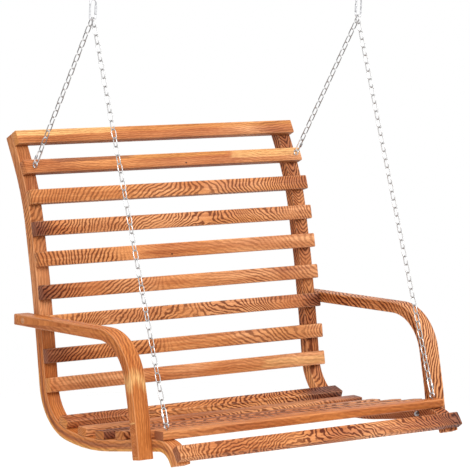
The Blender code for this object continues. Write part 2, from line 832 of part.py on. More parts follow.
def build_hook(side, word, parent):
    """One snap hook with gate, pin and spring; its gate faces the bench's middle."""
    mount = add_object("hook_place_" + word, None, parent)
    mount.location = (side * EYE_X, 0.0, -(HOOK_TOP - HOOK_WIRE / 2))
    mount.rotation_euler = (0.0, 0.0, 0.0 if side < 0 else math.pi)
    hook = add_solids("snap_hook_" + word, hook_body(), ZINC, 1.0, mount)
    cut(hook, add_cutter("hook_bore_" + word, hook_bore(), mount))
    pivot = add_object("gate_axis_" + word, None, mount)
    pivot.location = (HOOK_SIDE, 0.0, PIVOT_RISE)
    gate = add_solids("hook_gate_" + word, gate_bar(), ZINC, 1.0, pivot)
    cut(gate, add_cutter("gate_slots_" + word, gate_cuts(), pivot))
    cut(gate, add_cutter("gate_bores_" + word, gate_bores(), pivot))
    pin = Solids()
    pin.turned(pin_profile(PIN_RADIUS, GATE_THICKNESS / 2), PIN_SIDES, pin_place(0.0, 0.0))
    add_solids("gate_pin_" + word, pin, STEEL, 1.0, pivot)
    add_solids("gate_spring_" + word, gate_spring(), STEEL, 1.0, pivot)


def build_wood(parent):
    """Frames, armrests and slats, bored for their fasteners."""
    bores = Solids()
    for side in (-1, 1):
        bore_eyes(bores, side)
        bore_arms(bores, side)
    cutter = add_cutter("wood_bores", bores, parent)
    for side, word in ((-1, "left"), (1, "right")):
        rail = member(FRAME_START, FRAME_LEGS, FRAME_WIDTH, FRAME_DEPTH, FRAME_EDGE,
                      side * FRAME_X)
        cut(add_solids("side_frame_" + word, rail, AMBER, 0.0, parent), cutter)
        arm = member(ARM_START, ARM_LEGS, ARM_WIDTH, ARM_DEPTH, ARM_EDGE, side * ARM_X)
        cut(add_solids("armrest_" + word, arm, AMBER, 0.0, parent), cutter)
    names = ["back_slat_%d" % (k + 1) for k in range(len(BACK_STATIONS))]
    names += ["seat_slat_%d" % (k + 1) for k in range(len(SEAT_STATIONS))]
    names.append("front_slat")
    tones = BACK_TONES + SEAT_TONES + (RUSSET,)
    for name, tone, (station, width) in zip(names, tones, SLAT_STATIONS):
        cut(add_solids(name, slat(station, width), tone, 0.0, parent), cutter)


def build_fasteners(parent):
    """The armrest bolts with their nuts and plugs."""
    for side, word in ((-1, "left"), (1, "right")):
        for end, place in zip(("post_", "leg_"), arm_joints(side)):
            add_solids("armrest_bolt_" + end + word, arm_bolt(place), STEEL, 1.0, parent)
            add_solids("armrest_plug_" + end + word, arm_plug(place), AMBER, 0.0, parent)
            nut = flange_nut(BOLT_RADIUS, NUT_RADIUS, NUT_HEIGHT, NUT_FLANGE_RADIUS,
                             NUT_FLANGE, NUT_FACE, 1, place)
            add_solids("armrest_nut_" + end + word, nut, ZINC, 1.0, parent)


def build_hanger(name, eye, side, count, shift, parent):
    """One eye bolt and nut, quick link and sleeve, and chain."""
    chain = Chain(*eye, side, count, shift)
    add_solids("eye_bolt_" + name, eye_bolt(*eye, side), ZINC, 1.0, parent)
    place, _ = behind_frame(*eye, side * EYE_X)
    nut = flange_nut(EYE_WIRE / 2, EYE_NUT_RADIUS, EYE_NUT_HEIGHT, EYE_NUT_FLANGE_RADIUS,
                     EYE_NUT_FLANGE, -GAP - CHORD, -1, place)
    add_solids("eye_bolt_nut_" + name, nut, ZINC, 1.0, parent)
    add_solids("quick_link_" + name, chain.quick_link(), ZINC, 1.0, parent)
    add_solids("quick_link_sleeve_" + name, chain.sleeve(), ZINC, 1.0, parent)
    links = add_solids("chain_" + name, chain.links(0), ZINC, 1.0, parent)
    cut(links, add_cutter("turned_links_" + name, chain.links(1), parent), "UNION")


def build_hangers(parent):
    """Both sides' front and rear hangers."""
    for side, word in ((-1, "left"), (1, "right")):
        build_hanger("front_" + word, FRONT_EYE, side, FRONT_LINKS, -END_LINK_SHIFT, parent)
        build_hanger("rear_" + word, REAR_EYE, side, REAR_LINKS, END_LINK_SHIFT, parent)


def main():
    """Build the whole bench in an empty scene."""
    for item in list(bpy.data.objects):
        bpy.data.objects.remove(item)
    swing = add_object("swing_axis", None, None)
    swing.location = (0.0, 0.0, -(HOOK_TOP - HOOK_WIRE / 2))
    swing.rotation_euler = (HANG_TILT, 0.0, 0.0)
    build_wood(swing)
    build_fasteners(swing)
    build_hangers(swing)
    for side, word in ((-1, "left"), (1, "right")):
        build_hook(side, word, None)


main()
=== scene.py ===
import math

import bmesh
import bpy
from mathutils import Matrix, Vector


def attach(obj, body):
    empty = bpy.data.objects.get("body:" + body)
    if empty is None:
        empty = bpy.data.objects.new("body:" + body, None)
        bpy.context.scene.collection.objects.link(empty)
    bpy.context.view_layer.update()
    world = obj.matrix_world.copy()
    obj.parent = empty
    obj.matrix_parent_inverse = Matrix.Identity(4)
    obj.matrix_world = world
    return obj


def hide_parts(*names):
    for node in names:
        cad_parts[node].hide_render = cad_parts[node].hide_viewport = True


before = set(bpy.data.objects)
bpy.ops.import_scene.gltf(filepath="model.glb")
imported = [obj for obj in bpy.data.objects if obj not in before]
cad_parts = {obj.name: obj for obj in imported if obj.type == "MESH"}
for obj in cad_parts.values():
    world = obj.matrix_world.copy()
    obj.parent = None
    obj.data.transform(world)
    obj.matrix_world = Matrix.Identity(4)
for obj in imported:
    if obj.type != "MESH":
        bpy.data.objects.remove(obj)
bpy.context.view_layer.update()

# The view
# The bench is seen from the front left and a little above, from far off, so its
# upright lines hardly close in. The camera leans with the bench's hanging tilt.
view_place = (-5.7144, -7.4854, 0.5662)
view_turn = (math.radians(81.158), math.radians(-2.258), math.radians(-36.963))
bpy.ops.object.camera_add(location=view_place, rotation=view_turn)
camera = bpy.context.object
camera.data.sensor_width = 36.0
camera.data.lens = 219.02
camera.data.shift_x = 0.0368
camera.data.shift_y = 0.0721
camera.data.clip_end = 60.0
bpy.context.scene.camera = camera

# The studio
# A plain pale floor lies some way below the hanging bench, under three large soft lamps.
# The white round about shows full to the camera and in metal, and lights the rest less.
bpy.context.scene.view_settings.view_transform = "Standard"
floor_height = -1.82
floor_reach = 2.9
white_light = 0.62
lamps = (
    ("lamp_front", (-3.2, -4.6, 2.6), 3.2, 260.0),
    ("lamp_side", (4.4, -2.6, 1.6), 3.0, 120.0),
    ("lamp_top", (0.4, 0.8, 4.2), 3.6, 130.0),
)
for name, place, size, power in lamps:
    aim = Vector((0.0, 0.0, -1.0)) - Vector(place)
    turn = aim.to_track_quat("-Z", "Y").to_euler()
    bpy.ops.object.light_add(type="AREA", location=place, rotation=turn)
    lamp = bpy.context.object
    lamp.name = name
    lamp.data.shape = "DISK"
    lamp.data.size = size
    lamp.data.energy = power


class Shade:
    """One socket of a finish, whose arithmetic adds Math nodes."""

    def __init__(self, tree, socket):
        self.tree = tree
        self.socket = socket

    def sum(self, operation, *terms):
        return node(self.tree, "ShaderNodeMath", terms, operation=operation)

    def __add__(self, other):
        return self.sum("ADD", self, other)

    def __sub__(self, other):
        return self.sum("SUBTRACT", self, other)

    def __rsub__(self, other):
        return self.sum("SUBTRACT", other, self)

    def __mul__(self, other):
        return self.sum("MULTIPLY", self, other)

    def __truediv__(self, other):
        return self.sum("DIVIDE", self, other)

    def __pow__(self, other):
        return self.sum("POWER", self, other)

    def __abs__(self):
        return self.sum("ABSOLUTE", self)

    __radd__ = __add__
    __rmul__ = __mul__


def node(tree, kind, sockets=(), out=0, stops=None, **settings):
    """Add a node with its settings first, then the values or links of its sockets."""
    made = tree.nodes.new(kind)
    for setting, value in settings.items():
        setattr(made, setting, value)
    if stops:
        while len(made.color_ramp.elements) < len(stops):
            made.color_ramp.elements.new(1.0)
        for element, (place, value) in zip(made.color_ramp.elements, stops):
            element.position = place
            element.color = (*value, 1.0)[:4]
    pairs = sockets.items() if isinstance(sockets, dict) else enumerate(sockets)
    for key, value in pairs:
        if isinstance(value, Shade):
            tree.links.new(value.socket, made.inputs[key])
        else:
            made.inputs[key].default_value = value
    return Shade(tree, made.outputs[out] if made.outputs else None)


def start_finish(name, **constants):
    """A new material with its own shader sockets set; returns it, its tree and shader."""
    material = bpy.data.materials.new(name)
    material.use_nodes = True
    shader = material.node_tree.nodes["Principled BSDF"]
    for socket, value in constants.items():
        shader.inputs[socket.replace("_", " ")].default_value = value
    return material, material.node_tree, shader


def dress(tree, shader, colour, rough, height, strength, depth):
    """Link a finish's colour, roughness and bumps to its shader."""
    bump = node(tree, "ShaderNodeBump", {"Strength": strength, "Distance": depth,
                                         "Height": height})
    for shade, socket in ((colour, "Base Color"), (rough, "Roughness"), (bump, "Normal")):
        tree.links.new(shade.socket, shader.inputs[socket])


white = bpy.data.worlds.new("white_surround")
bpy.context.scene.world = white
white.use_nodes = True
tree = white.node_tree
tree.nodes.clear()
ray = node(tree, "ShaderNodeLightPath").socket.node
camera_ray, glossy_ray, clear_ray = (
    Shade(tree, ray.outputs[kind])
    for kind in ("Is Camera Ray", "Is Glossy Ray", "Is Transmission Ray"))
seen = camera_ray + glossy_ray + clear_ray
strength = white_light + seen.sum("MINIMUM", seen, 1.0) * (1.0 - white_light)
glow = node(tree, "ShaderNodeBackground", {"Color": (1.0, 1.0, 1.0, 1.0), "Strength": strength})
node(tree, "ShaderNodeOutputWorld", {"Surface": glow})

bpy.ops.object.select_all(action="DESELECT")
bpy.ops.mesh.primitive_circle_add(vertices=96, radius=floor_reach, fill_type="NGON",
                                  location=(0.0, 0.0, floor_height))
floor = bpy.context.object
floor.name = "floor"
bpy.ops.object.transform_apply(location=True, rotation=True, scale=True)
material, tree, shader = start_finish("pale_floor", Base_Color=(0.93, 0.93, 0.92, 1.0),
                                      Roughness=0.75)
place = node(tree, "ShaderNodeTexCoord", out=3)
flat = node(tree, "ShaderNodeVectorMath", (place, (1.0, 1.0, 0.0)), operation="MULTIPLY")
away = node(tree, "ShaderNodeVectorMath", (flat,), out=1, operation="LENGTH")
fade = node(tree, "ShaderNodeMapRange", {"Value": away, "From Min": floor_reach * 0.55,
                                         "From Max": floor_reach * 0.98, "To Min": 1.0,
                                         "To Max": 0.0}, interpolation_type="SMOOTHSTEP")
clear = node(tree, "ShaderNodeBsdfTransparent")
mixed = node(tree, "ShaderNodeMixShader", {0: fade, 1: clear,
                                           2: Shade(tree, shader.outputs[0])})
tree.links.new(mixed.socket, tree.nodes["Material Output"].inputs["Surface"])
floor.data.materials.append(material)

# Side frames
# Each is one thick board of oiled, scorched teak, bent from the top of the back down
# through the seat to the nose at the front. Every slat is screwed to its face.
frame_inside = 0.5519
frame_width = 0.0532
frame_depth = 0.0368
frame_rounding = 0.0032
frame_blunting = 0.0033
end_rounding = 0.0022
bench_tilt = math.radians(-3.62)
hang_rear = 0.02697
hang_rise = 1.25409
hook_wire_height = -0.061
hung = (Matrix.Translation((0.0, 0.0, hook_wire_height)) @ Matrix.Rotation(bench_tilt, 4, "X")
        @ Matrix.Translation((0.0, -hang_rear, -hang_rise)))
back_top = (0.4575, 0.8723, math.radians(63.1))
frame_route = (
    ("run", 0.1012, 0.0), ("bend", 0.757, 14.9), ("bend", 4.635, 5.0), ("run", 0.1445, 0.0),
    ("bend", 0.149, -72.9), ("bend", 0.738, -17.6), ("run", 0.281, 0.0),
    ("bend", 0.097, 78.8),
)
bend_step = 4.0


def outward(heading):
    """Square to a board's face, for a heading below the horizontal."""
    return Vector((0.0, -math.sin(heading), math.cos(heading)))


def forward(heading):
    """Along a board at a heading."""
    return Vector((0.0, -math.cos(heading), -math.sin(heading)))


def walk(start, route, reach):
    """Place on a board's face, and the heading there, at a distance along its route."""
    y, z, heading = start
    for kind, size, turn in route:
        length = size if kind == "run" else size * math.radians(abs(turn))
        step = min(max(reach, 0.0), length)
        if kind == "run":
            y -= step * math.cos(heading)
            z -= step * math.sin(heading)
        else:
            radius = math.copysign(size, turn)
            after = heading + step / radius
            y -= radius * (math.sin(after) - math.sin(heading))
            z -= radius * (math.cos(heading) - math.cos(after))
            heading = after
        reach -= step
    return Vector((0.0, y, z)), heading


def only(*things):
    """Select these objects alone and make the first of them active."""
    bpy.ops.object.select_all(action="DESELECT")
    for thing in things:
        thing.select_set(True)
    bpy.context.view_layer.objects.active = things[0]


def pick(thing, wanted, kind="faces"):
    """Select just the wanted vertices, edges or faces of the mesh in edit mode."""
    modes = {"verts": "VERT", "edges": "EDGE", "faces": "FACE"}
    bpy.ops.mesh.select_mode(type=modes[kind])
    bpy.ops.mesh.select_all(action="DESELECT")
    shape = bmesh.from_edit_mesh(thing.data)
    for part in getattr(shape, kind):
        if wanted(part):
            part.select_set(True)
    shape.select_flush_mode()
    bmesh.update_edit_mesh(thing.data)


def many_sided(face):
    """Whether a face is the end of a rod or of a rounded board."""
    return len(face.verts) > 4


def blunt(thing, wanted, size):
    """Round off the rims of the wanted faces."""
    pick(thing, wanted)
    bpy.ops.mesh.region_to_loop()
    bpy.ops.mesh.bevel(offset=size, segments=2, affect="EDGES")


def push(step):
    """Extrude the selected faces or edges by one step."""
    bpy.ops.mesh.extrude_region_move(TRANSFORM_OT_translate={"value": step})


def mark_grain(thing, change):
    """Write the grain place (across, along, deep) of the selected corners."""
    shape = bmesh.from_edit_mesh(thing.data)
    layer = shape.verts.layers.float_vector.get("grain")
    if layer is None:
        layer = shape.verts.layers.float_vector.new("grain")
    for corner in shape.verts:
        if corner.select:
            corner[layer] = change(corner, corner[layer])
    bmesh.update_edit_mesh(thing.data)


def hang(thing):
    """Carry a piece set out on the level bench to the bench as it hangs."""
    thing.data.transform(hung)


def turn_on(degrees, middle, steps, axis=(1.0, 0.0, 0.0)):
    """Sweep the selected end face round an axis; this spin counts its angle backwards."""
    bpy.ops.mesh.spin(steps=steps, angle=-math.radians(degrees), center=middle, axis=axis)


def bend_board(name, start, route, width, depth, rounding, blunting):
    """Bend a board along its route, X across and the face outward.

    rounding is the radius of its long edges and blunting that of the rims of its ends.
    """
    bpy.ops.object.select_all(action="DESELECT")
    bpy.ops.mesh.primitive_plane_add(size=1.0)
    board = bpy.context.object
    board.name = name
    bpy.ops.object.mode_set(mode="EDIT")
    bpy.ops.transform.resize(value=(width, depth, 1.0))
    bpy.ops.mesh.bevel(offset=rounding, segments=4, affect="VERTICES")
    bpy.ops.mesh.select_all(action="SELECT")
    mark_grain(board, lambda corner, old: Vector((corner.co.x, 0.0, corner.co.y)))
    bpy.ops.object.mode_set(mode="OBJECT")
    face, heading = walk(start, route, 0.0)
    board.rotation_euler = (math.pi / 2 + heading, 0.0, 0.0)
    board.location = face - outward(heading) * (depth / 2)
    bpy.ops.object.transform_apply(location=True, rotation=True, scale=True)
    bpy.ops.object.mode_set(mode="EDIT")
    bpy.ops.mesh.select_mode(type="FACE")
    bpy.ops.mesh.select_all(action="SELECT")
    reach = 0.0
    for kind, size, turn in route:
        face, heading = walk(start, route, reach)
        middle = face - outward(heading) * math.copysign(size, turn)
        count = 1 if kind == "run" else math.ceil(abs(turn) / bend_step)
        for _ in range(count):
            if kind == "run":
                push(forward(heading) * size)
                reach += size
            else:
                turn_on(turn / count, middle, 1)
                reach += size * math.radians(abs(turn)) / count
            mark_grain(board, lambda corner, old: Vector((old.x, reach, old.z)))
    bpy.ops.mesh.select_all(action="SELECT")
    bpy.ops.mesh.normals_make_consistent(inside=False)
    blunt(board, many_sided, blunting)
    bpy.ops.object.mode_set(mode="OBJECT")
    bpy.ops.object.shade_smooth_by_angle(angle=math.radians(40.0))
    return board


def teak(name, figure, seed, zones=(), ends=None, half=(0.024, 0.0138), knots=(),
         by_depth=False, under=0.0, wander=1.0):
    """Oiled teak scorched along its growth lines, by the board's own grain place.

    figure lists places along the board, each with the growth lines in a metre along it,
    across it and out from its middle as a V, how dark they are, and the wood's tone.
    zones are (from, to, low, high, tone, share): strips in another tone, from low to
    high across the board or, with by_depth, through its thickness. ends is half its
    length and the tone of its sawn ends, half is half its width and thickness, knots are
    places along and across, under is how much painted shade darkens its lower edge, and
    wander is how far its lines stray.
    """
    band_tint, mottle_tint = (0.74, 0.60, 0.52), (0.70, 0.58, 0.50)
    scorch_tint, fleck_tint = (0.20, 0.095, 0.055), (0.48, 0.34, 0.28)
    lower_shade_tint, knot_tone = (0.30, 0.22, 0.18), (0.06, 0.022, 0.012)
    ramp_lines, lines_deep = 400.0, 70.0
    heart_stray, heart_soft = 0.022, 0.00004
    zone_blur, zone_edge = 0.018, 0.002
    knot_rim, knot_heart = 0.0052, 0.0022
    lower_shade_rise, lower_shade_full = 0.0022, 0.0008
    sawn_rise, sawn_full = 0.0016, 0.0004
    # Width and tone of the pale edge rims: partly wear, partly a painted highlight.
    wear_and_highlight_rim, wear_and_highlight_tone = 0.004, (0.80, 0.46, 0.26)
    material, tree, shader = start_finish(name, IOR=1.4, Coat_Weight=0.0)
    shader.inputs["Specular IOR Level"].default_value = 0.16
    grain = node(tree, "ShaderNodeAttribute", out=1, attribute_name="grain")
    split = node(tree, "ShaderNodeSeparateXYZ", (grain,)).socket.node
    across, along, sunk = (Shade(tree, split.outputs[k]) for k in range(3))
    shifted = along + seed * 3.17

    def cloud(scale_across, scale_along, detail=1.0, shift=0.0, rough=0.5):
        """Noise stretched along the grain, about zero."""
        where = node(tree, "ShaderNodeCombineXYZ",
                     (across * scale_across + shift, shifted * scale_along,
                      sunk * scale_across))
        noise = node(tree, "ShaderNodeTexNoise", {"Vector": where, "Scale": 1.0,
                                                  "Detail": detail, "Roughness": rough})
        return noise - 0.5

    def between(value, low, high):
        """Nought below low, one above high, smooth between."""
        return node(tree, "ShaderNodeMapRange", {"Value": value, "From Min": low,
                                                 "From Max": high},
                    interpolation_type="SMOOTHSTEP")

    def blend(share, first, second, kind="MIX"):
        """Mix two colours."""
        return node(tree, "ShaderNodeMix", {0: share, 6: first, 7: second}, out=2,
                    data_type="RGBA", blend_type=kind)

    def tinted(share, under_it, tint):
        """A colour with a share of itself multiplied by a tint."""
        return blend(share, under_it, blend(1.0, under_it, (*tint, 1.0), "MULTIPLY"))

    counts = [0.0]
    for before, after in zip(figure, figure[1:]):
        counts.append(counts[-1] + (after[0] - before[0]) * (before[1] + after[1]) / 2)
    begin, reach = figure[0][0], figure[-1][0] - figure[0][0]
    where = (along - begin) / reach
    course, tones = [], []
    for (place, _, slant, peak, scorched, tone), count in zip(figure, counts):
        share = (place - begin) / reach
        course.append((share, (0.5 + slant / ramp_lines, 0.5 + peak / ramp_lines,
                               count / counts[-1], scorched)))
        tones.append((share, tone))
    ramp = node(tree, "ShaderNodeValToRGB", (where,), stops=course).socket.node
    drift = node(tree, "ShaderNodeSeparateXYZ", (Shade(tree, ramp.outputs[0]),)).socket.node
    slope, point, passed = (Shade(tree, drift.outputs[k]) for k in range(3))
    darkness = Shade(tree, ramp.outputs[1])
    off_middle = across + cloud(0.0, 5.0, 0.0, 3.0) * heart_stray
    off_middle = (off_middle * off_middle + heart_soft) ** 0.5
    rings = passed * counts[-1] + across * (slope - 0.5) * ramp_lines + sunk * lines_deep
    rings = rings + off_middle * (point - 0.5) * ramp_lines
    rings = rings + cloud(9.0, 6.0, 0.5) * (5.0 * wander)
    rings = rings + cloud(44.0, 34.0, 1.5, 4.0) * (1.2 * wander)
    turn = rings * (2 * math.pi)
    wave = turn.sum("SINE", turn) * 0.5 + 0.5
    line = between(wave, 0.30, 0.86)
    scorch = line * darkness * (between(cloud(9.0, 5.0, 1.0, 9.0), -0.24, 0.0) * 0.6 + 0.4)
    fibre = cloud(620.0, 15.0, 2.0, 2.0)
    streak = cloud(95.0, 2.6, 2.0, 6.0)
    ragged = where + cloud(34.0, 9.0, 2.0, 20.0) * 0.10
    colour = node(tree, "ShaderNodeValToRGB", (ragged,), stops=tones)
    deep = between(cloud(24.0, 4.0, 1.0, 5.0) + streak * 0.8, -0.16, 0.20)
    colour = tinted(deep * 0.75, colour, band_tint)
    for number, (start, end, low, high, other, share) in enumerate(zones):
        torn = along + cloud(34.0, 9.0, 2.0, 20.0 + number) * 0.12
        inside = between(torn, start - zone_blur, start + zone_blur) * (
            1.0 - between(torn, end - zone_blur, end + zone_blur))
        level = (sunk if by_depth else across) + cloud(16.0, 4.0, 1.0, 30.0 + number) * (
            0.008 if by_depth else 0.018)
        inside = inside * between(level, low - zone_edge, low + zone_edge) * (
            1.0 - between(level, high - zone_edge, high + zone_edge))
        colour = blend(inside * share, colour, (*other, 1.0))
    mottle = between(cloud(230.0, 50.0, 2.0, 13.0) + streak * 0.6, -0.14, 0.14)
    colour = tinted(mottle * 0.5, colour, mottle_tint)
    dark = blend(1.0, colour, (*scorch_tint, 1.0), "MULTIPLY")
    colour = blend(scorch, colour, dark)
    for place_along, place_across in knots:
        off = node(tree, "ShaderNodeCombineXYZ", (along - place_along,
                                                  (across - place_across) * 1.3, 0.0))
        away = node(tree, "ShaderNodeVectorMath", (off,), out=1, operation="LENGTH")
        colour = blend(between(away, knot_rim, knot_heart), colour, (*knot_tone, 1.0))
    flecks = between(fibre + streak * 0.3, 0.02, 0.22) * 0.30
    colour = tinted(flecks, colour, fleck_tint)
    if ends:
        sawn = between(abs(along), ends[0] - sawn_rise, ends[0] - sawn_full)
        colour = blend(sawn * 0.85, colour, blend(scorch * 0.45, (*ends[1], 1.0), dark))
    wide, thick = half
    # Painted shade: the lower edge is darkened as if it lay in shade.
    if under:
        lower = between(0.0 - across, wide - lower_shade_rise, wide - lower_shade_full)
        colour = tinted(lower * under, colour, lower_shade_tint)
    # Pale rims along the long edges: partly wear, partly a painted highlight where the rounded
    # edges catch the light.
    worn_and_highlit = between(abs(across), wide - wear_and_highlight_rim, wide)
    worn_and_highlit = worn_and_highlit * between(abs(sunk), thick - wear_and_highlight_rim, thick)
    colour = blend(worn_and_highlit * 0.35, colour, (*wear_and_highlight_tone, 1.0))
    rough = 0.40 + line * 0.14 + fibre * 0.25
    dress(tree, shader, colour, rough, fibre * 0.6 - scorch * 0.7, 0.35, 0.0006)
    return material


honey = (0.76, 0.350, 0.150)
amber = (0.69, 0.285, 0.102)
tan = (0.60, 0.205, 0.053)
rust = (0.60, 0.222, 0.078)
russet = (0.51, 0.182, 0.067)
umber = (0.25, 0.086, 0.044)
sapwood = (0.88, 0.51, 0.200)
gilded = (0.70, 0.34, 0.090)

frame_half = (frame_width / 2, frame_depth / 2)
frame_finishes = {
    "left": teak("teak_frame_left", (
        (0.00, 10.0, 110.0, 0.0, 0.35, amber), (0.20, 20.0, 90.0, 0.0, 0.35, russet),
        (0.26, 60.0, 60.0, 0.0, 0.60, amber), (0.36, 50.0, 60.0, 0.0, 0.50, amber),
        (0.44, 12.0, 90.0, 0.0, 0.30, honey), (0.60, 12.0, 100.0, 0.0, 0.30, honey),
        (0.70, 12.0, 100.0, 0.0, 0.35, tan), (1.05, 12.0, 110.0, 0.0, 0.40, tan),
        (1.75, 12.0, 110.0, 0.0, 0.35, amber)),
        1.0, ((0.78, 1.75, -0.030, -0.009, gilded, 0.8), (0.70, 1.62, -0.004, 0.006, umber, 0.6),
              (0.08, 0.70, -0.006, 0.000, russet, 0.7), (-0.02, 0.001, -0.05, 0.05, umber, 0.8)),
        half=frame_half, by_depth=True),
    "right": teak("teak_frame_right", (
        # The umber at the top of the right frame is a painted shadow, cast by the first back
        # slat.
        (0.00, 60.0, 0.0, 95.0, 0.9, umber), (0.10, 60.0, 0.0, 95.0, 0.9, russet),
        (0.30, 62.0, 0.0, 90.0, 0.9, amber), (0.45, 58.0, 0.0, 80.0, 0.9, russet),
        (0.60, 50.0, 0.0, 110.0, 0.9, amber), (0.72, 24.0, 20.0, 110.0, 0.9, russet),
        (0.90, 18.0, 70.0, 40.0, 0.8, amber), (1.15, 60.0, 40.0, 0.0, 0.9, russet),
        (1.35, 84.0, 40.0, 0.0, 1.0, russet), (1.62, 84.0, 40.0, 0.0, 1.0, russet),
        (1.70, 30.0, 60.0, 0.0, 0.8, amber)),
        2.0, half=frame_half),
}
for side, name in ((-1, "left"), (1, "right")):
    board = bend_board("frame_" + name, back_top, frame_route, frame_width, frame_depth,
                       frame_rounding, frame_blunting)
    board.data.transform(Matrix.Translation((side * frame_inside, 0.0, 0.0)))
    hang(board)
    board.data.materials.append(frame_finishes[name])
    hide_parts("side_frame_" + name)
    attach(board, "bench")

# Slats
# Nine across the back, six across the seat and one under the nose, sawn from the same
# boards and planed with rounded edges. Their colours run from honey to nearly black.
slat_length = 1.157
slat_thickness = 0.0276
slat_easing = 0.0032
touch_gap = 0.0005
back_width = 0.0480
seat_width = 0.0470
back_places = (0.0240, 0.1293, 0.2296, 0.3332, 0.4335, 0.5421, 0.6416, 0.7502, 0.8463)
seat_places = (1.0119, 1.1254, 1.2270, 1.3394, 1.4480, 1.5523)
front_place = 1.6482
rest_steps = 24
slats = [("back_slat_%d" % k, place, back_width) for k, place in enumerate(back_places, 1)]
slats += [("seat_slat_%d" % k, place, seat_width) for k, place in enumerate(seat_places, 1)]
slats.append(("front_slat", front_place, seat_width))


def slat_rest(station, width):
    """Middle of a slat's underside and its heading, where it lies on the frames."""
    first, _ = walk(back_top, frame_route, station - width / 2)
    last, _ = walk(back_top, frame_route, station + width / 2)
    heading = math.atan2(first.z - last.z, first.y - last.y)
    middle, _ = walk(back_top, frame_route, station)
    rise = 0.0
    for k in range(rest_steps + 1):
        point, _ = walk(back_top, frame_route, station + width * (k / rest_steps - 0.5))
        touch = point - middle
        past_flat = abs(touch.dot(forward(heading))) - (width / 2 - slat_easing)
        rise = max(rise, touch.dot(outward(heading)) - max(past_flat, 0.0))
    return middle + outward(heading) * (rise + touch_gap), heading


def saw_slat(name, station, width):
    """Plane one slat and lay it on the frames."""
    bpy.ops.object.select_all(action="DESELECT")
    bpy.ops.mesh.primitive_cube_add(size=1.0)
    piece = bpy.context.object
    piece.name = name
    bpy.ops.object.mode_set(mode="EDIT")
    bpy.ops.transform.resize(value=(slat_length, width, slat_thickness))
    pick(piece, lambda edge: abs(edge.verts[0].co.x - edge.verts[1].co.x) > 0.1, "edges")
    bpy.ops.mesh.bevel(offset=slat_easing, segments=3, profile=0.32, affect="EDGES")
    blunt(piece, lambda face: abs(face.normal.x) > 0.9, end_rounding)
    bpy.ops.mesh.select_mode(type="VERT")
    bpy.ops.mesh.select_all(action="SELECT")
    mark_grain(piece, lambda corner, old: Vector((corner.co.y, corner.co.x, corner.co.z)))
    bpy.ops.object.mode_set(mode="OBJECT")
    bpy.ops.object.shade_smooth_by_angle(angle=math.radians(40.0))
    rest, heading = slat_rest(station, width)
    piece.rotation_euler = (heading, 0.0, 0.0)
    piece.location = rest + outward(heading) * (slat_thickness / 2)
    bpy.ops.object.transform_apply(location=True, rotation=True, scale=True)
    hang(piece)
    return piece


